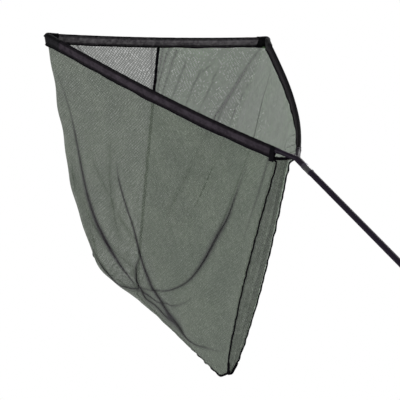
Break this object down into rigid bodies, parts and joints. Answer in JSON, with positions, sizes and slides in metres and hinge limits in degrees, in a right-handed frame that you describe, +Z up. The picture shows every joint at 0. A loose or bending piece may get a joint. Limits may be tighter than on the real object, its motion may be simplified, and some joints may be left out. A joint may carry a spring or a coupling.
{
  "type": "landing net",
  "caption": "Triangular carp landing net: deep mesh bag on two sprung arms and a taut front cord, with a spreader block that screws on to a two-section pole.",
  "frame": {"origin": "middle of the foam grip, on the pole's axis, where a hand or a rest holds the net", "axes": "+X along the pole towards the net head, +Y to the left of a person looking along the pole, +Z up, so that the bag hangs along -Z"},
  "size_m": [2.8486, 0.8296, 0.9259],
  "materials": {
    "carbon_tube": "satin",
    "gloss_black": "gloss",
    "rubber": "matte",
    "foam": "matte",
    "collar_metal": "satin",
    "steel": "satin",
    "block_plastic": "satin",
    "fibreglass": "gloss",
    "cord": "matte",
    "netting": "matte",
    "sleeve_cloth": "matte",
    "corner_cloth": "matte",
    "binding_tape": "matte"
  },
  "bodies": {
    "pole_butt": {"lower_tube": "carbon_tube", "butt_cap": "rubber", "foam_grip": "foam", "grip_ring": "collar_metal", "joint_ferrule": "gloss_black"},
    "pole_top": {"joint_spigot": "carbon_tube", "upper_tube": "carbon_tube", "upper_whipping": "gloss_black", "top_ferrule": "gloss_black", "ferrule_trim": "collar_metal", "threaded_insert": "collar_metal"},
    "collar": {"lock_collar": "collar_metal"},
    "net_head": {"bottom_seam": "binding_tape", "front_cord": "cord", "front_cord_sleeve": "sleeve_cloth", "front_seam": "binding_tape", "gather_flap": "binding_tape", "left_arm": "fibreglass", "left_arm_sleeve": "sleeve_cloth", "left_corner_pocket": "corner_cloth", "left_sleeve_hem": "binding_tape", "left_tip_cap": "block_plastic", "netting_front_left": "netting", "netting_front_right": "netting", "netting_side_left": "netting", "netting_side_right": "netting", "rear_corner_binding": "binding_tape", "rear_gusset": "netting", "rear_seam_left": "binding_tape", "rear_seam_right": "binding_tape", "right_arm": "fibreglass", "right_arm_sleeve": "sleeve_cloth", "right_corner_pocket": "corner_cloth", "right_sleeve_hem": "binding_tape", "right_tip_cap": "block_plastic", "spreader_block": "block_plastic", "threaded_stud": "steel", "throat_hem": "binding_tape"}
  },
  "joints": [
    {"name": "pole_pulls_apart", "type": "slide", "parent": "pole_butt", "child": "pole_top", "axis": [1, 0, 0], "range_m": [0, 0.094]},
    {"name": "head_backs_off", "type": "slide", "parent": "pole_top", "child": "collar", "axis": [1, 0, 0], "range_m": [0, 0.0127]},
    {"name": "head_unscrews", "type": "hinge", "parent": "collar", "child": "net_head", "pos_m": [1.65, 0, 0], "axis": [1, 0, 0], "range_deg": [0, 3600]}
  ],
  "couplings": [
    {"joint": "head_backs_off", "follows": "head_unscrews", "m_per_rad": 0.00020213}
  ]
}
